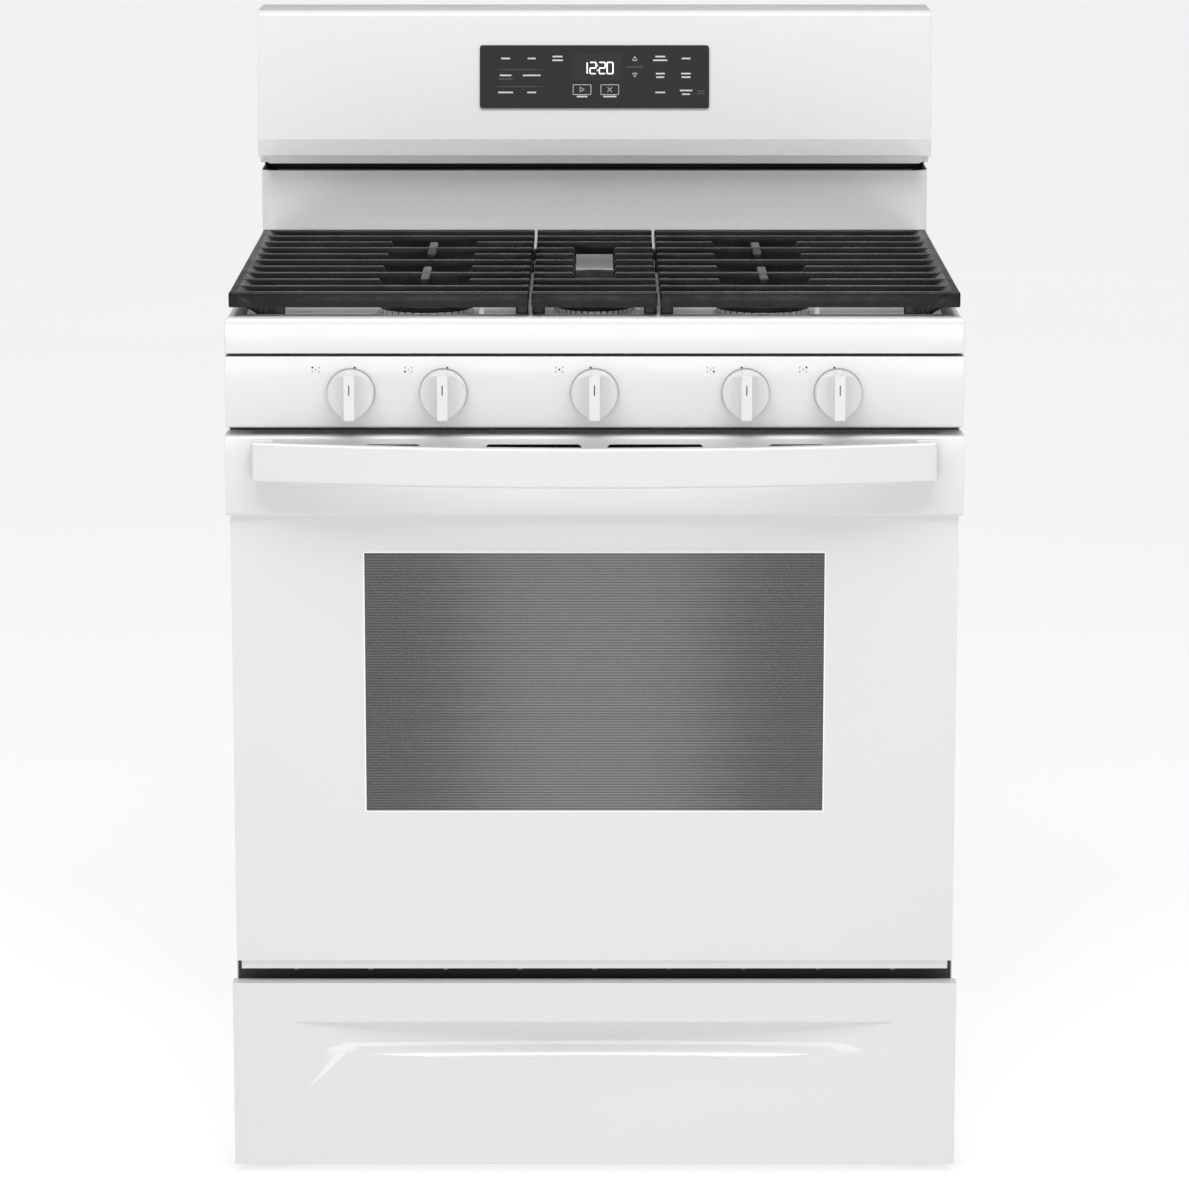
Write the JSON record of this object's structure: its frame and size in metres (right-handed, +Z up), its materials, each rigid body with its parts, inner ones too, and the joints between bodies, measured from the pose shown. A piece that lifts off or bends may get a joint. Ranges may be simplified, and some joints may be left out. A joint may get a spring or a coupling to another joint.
{
  "type": "freestanding gas range",
  "caption": "Freestanding gas range with a drop-down oven door, storage drawer, push-and-turn knobs, lift-off cast grates and a sloped backguard with a control display.",
  "frame": {"origin": "on the floor under the centre of the bounding box", "axes": "+Z up, the front faces -Y, +X to the right of someone facing the range"},
  "size_m": [0.76, 0.715, 1.184],
  "materials": {
    "white_enamel": "gloss",
    "black_enamel": "satin porcelain enamel",
    "grey_enamel": "speckled porcelain enamel",
    "dark_paint": "satin",
    "zinc_steel": "galvanised",
    "door_glass": "back-painted white, with a clear window",
    "inner_glass": "clear",
    "black_glass": "gloss",
    "rack_wire": "bright",
    "burner_aluminium": "cast",
    "tube_aluminium": "bright",
    "manifold_steel": "plated",
    "valve_brass": "machined",
    "knob_plastic": "gloss",
    "glass_fibre": "matt wool",
    "gasket_braid": "braided glass fibre",
    "spark_ceramic": "matt",
    "black_plastic": "matt",
    "lamp_glass": "clear dome"
  },
  "bodies": {
    "chassis": {"levelling_feet": "zinc_steel", "base_frame": "dark_paint", "side_panels": "white_enamel", "rear_panel": "zinc_steel", "front_frame": "grey_enamel", "oven_liner": "grey_enamel", "oven_back_wall": "grey_enamel", "oven_floor": "grey_enamel", "burner_pan": "grey_enamel", "oven_insulation": "glass_fibre", "oven_burners": "zinc_steel", "fan_cover": "grey_enamel", "fan_motor": "zinc_steel", "oven_lamp": "lamp_glass", "drawer_rails": "zinc_steel", "cooktop": "white_enamel", "burner_heads": "burner_aluminium", "igniters": "spark_ceramic", "burner_tubes": "tube_aluminium", "gas_manifold": "manifold_steel", "gas_valves": "valve_brass", "gas_inlet": "valve_brass", "control_panel": "white_enamel", "backguard_riser": "white_enamel", "backguard_console": "white_enamel", "flue_duct": "dark_paint", "control_glass": "black_glass", "power_inlet": "black_plastic", "hinge_receivers": "zinc_steel", "panel_screws": "zinc_steel"},
    "oven_door": {"door_top_trim": "white_enamel", "door_glass": "door_glass", "door_frame": "white_enamel", "door_inner_glass": "inner_glass", "door_liner": "grey_enamel", "door_gasket": "gasket_braid", "door_handle": "white_enamel", "door_hinges": "zinc_steel"},
    "storage_drawer": {"drawer_front": "white_enamel", "drawer_pan": "zinc_steel", "drawer_slides": "zinc_steel"},
    "oven_rack_upper": {"upper_rack": "rack_wire"},
    "oven_rack_lower": {"lower_rack": "rack_wire"},
    "convection_fan": {"fan_wheel": "zinc_steel"},
    "grate_left": {"left_grate": "black_enamel"},
    "grate_centre": {"centre_grate": "black_enamel"},
    "grate_right": {"right_grate": "black_enamel"},
    "caps_left": {"left_caps": "black_enamel"},
    "cap_centre": {"centre_cap": "black_enamel"},
    "caps_right": {"right_caps": "black_enamel"},
    "plunger_1": {"valve_plunger_1": "manifold_steel"},
    "knob_body_1": {"knob_1": "knob_plastic"},
    "plunger_2": {"valve_plunger_2": "manifold_steel"},
    "knob_body_2": {"knob_2": "knob_plastic"},
    "plunger_3": {"valve_plunger_3": "manifold_steel"},
    "knob_body_3": {"knob_3": "knob_plastic"},
    "plunger_4": {"valve_plunger_4": "manifold_steel"},
    "knob_body_4": {"knob_4": "knob_plastic"},
    "plunger_5": {"valve_plunger_5": "manifold_steel"},
    "knob_body_5": {"knob_5": "knob_plastic"}
  },
  "joints": [
    {"name": "door_hinge", "type": "hinge", "parent": "chassis", "child": "oven_door", "pos_m": [0, -0.2725, 0.243], "axis": [1, 0, 0], "range_deg": [0, 88], "stiffness_Nm_per_rad": 22, "springref_deg": -6.88},
    {"name": "drawer_slide", "type": "slide", "parent": "chassis", "child": "storage_drawer", "axis": [0, -1, 0], "range_m": [0, 0.36]},
    {"name": "lower_rack_slide", "type": "slide", "parent": "chassis", "child": "oven_rack_lower", "axis": [0, -1, 0], "range_m": [0, 0.28]},
    {"name": "upper_rack_slide", "type": "slide", "parent": "chassis", "child": "oven_rack_upper", "axis": [0, -1, 0], "range_m": [0, 0.28]},
    {"name": "fan_spin", "type": "hinge", "parent": "chassis", "child": "convection_fan", "pos_m": [0, 0.2125, 0.515], "axis": [0, 1, 0], "continuous": true},
    {"name": "left_grate_lift", "type": "slide", "parent": "chassis", "child": "grate_left", "axis": [0, 0, 1], "range_m": [0, 0.08]},
    {"name": "centre_grate_lift", "type": "slide", "parent": "chassis", "child": "grate_centre", "axis": [0, 0, 1], "range_m": [0, 0.08]},
    {"name": "right_grate_lift", "type": "slide", "parent": "chassis", "child": "grate_right", "axis": [0, 0, 1], "range_m": [0, 0.08]},
    {"name": "left_cap_lift", "type": "slide", "parent": "chassis", "child": "caps_left", "axis": [0, 0, 1], "range_m": [0, 0.05]},
    {"name": "centre_cap_lift", "type": "slide", "parent": "chassis", "child": "cap_centre", "axis": [0, 0, 1], "range_m": [0, 0.05]},
    {"name": "right_cap_lift", "type": "slide", "parent": "chassis", "child": "caps_right", "axis": [0, 0, 1], "range_m": [0, 0.05]},
    {"name": "knob_1_push", "type": "slide", "parent": "chassis", "child": "plunger_1", "axis": [0, 1, 0], "range_m": [0, 0.003], "stiffness_N_per_m": 900, "springref_m": -0.006},
    {"name": "knob_1_turn", "type": "hinge", "parent": "plunger_1", "child": "knob_body_1", "pos_m": [-0.25, -0.3135, 0.836], "axis": [0, -1, 0], "range_deg": [0, 270]},
    {"name": "knob_2_push", "type": "slide", "parent": "chassis", "child": "plunger_2", "axis": [0, 1, 0], "range_m": [0, 0.003], "stiffness_N_per_m": 900, "springref_m": -0.006},
    {"name": "knob_2_turn", "type": "hinge", "parent": "plunger_2", "child": "knob_body_2", "pos_m": [-0.155, -0.3135, 0.836], "axis": [0, -1, 0], "range_deg": [0, 270]},
    {"name": "knob_3_push", "type": "slide", "parent": "chassis", "child": "plunger_3", "axis": [0, 1, 0], "range_m": [0, 0.003], "stiffness_N_per_m": 900, "springref_m": -0.006},
    {"name": "knob_3_turn", "type": "hinge", "parent": "plunger_3", "child": "knob_body_3", "pos_m": [0, -0.3135, 0.836], "axis": [0, -1, 0], "range_deg": [0, 270]},
    {"name": "knob_4_push", "type": "slide", "parent": "chassis", "child": "plunger_4", "axis": [0, 1, 0], "range_m": [0, 0.003], "stiffness_N_per_m": 900, "springref_m": -0.006},
    {"name": "knob_4_turn", "type": "hinge", "parent": "plunger_4", "child": "knob_body_4", "pos_m": [0.155, -0.3135, 0.836], "axis": [0, -1, 0], "range_deg": [0, 270]},
    {"name": "knob_5_push", "type": "slide", "parent": "chassis", "child": "plunger_5", "axis": [0, 1, 0], "range_m": [0, 0.003], "stiffness_N_per_m": 900, "springref_m": -0.006},
    {"name": "knob_5_turn", "type": "hinge", "parent": "plunger_5", "child": "knob_body_5", "pos_m": [0.25, -0.3135, 0.836], "axis": [0, -1, 0], "range_deg": [0, 270]}
  ],
  "couplings": [
    {"joint": "lower_rack_slide", "follows": "door_hinge", "m_per_rad": 0.18},
    {"joint": "upper_rack_slide", "follows": "door_hinge", "m_per_rad": 0.18},
    {"joint": "left_cap_lift", "follows": "left_grate_lift", "ratio": 0.6},
    {"joint": "centre_cap_lift", "follows": "centre_grate_lift", "ratio": 0.6},
    {"joint": "right_cap_lift", "follows": "right_grate_lift", "ratio": 0.6}
  ]
}
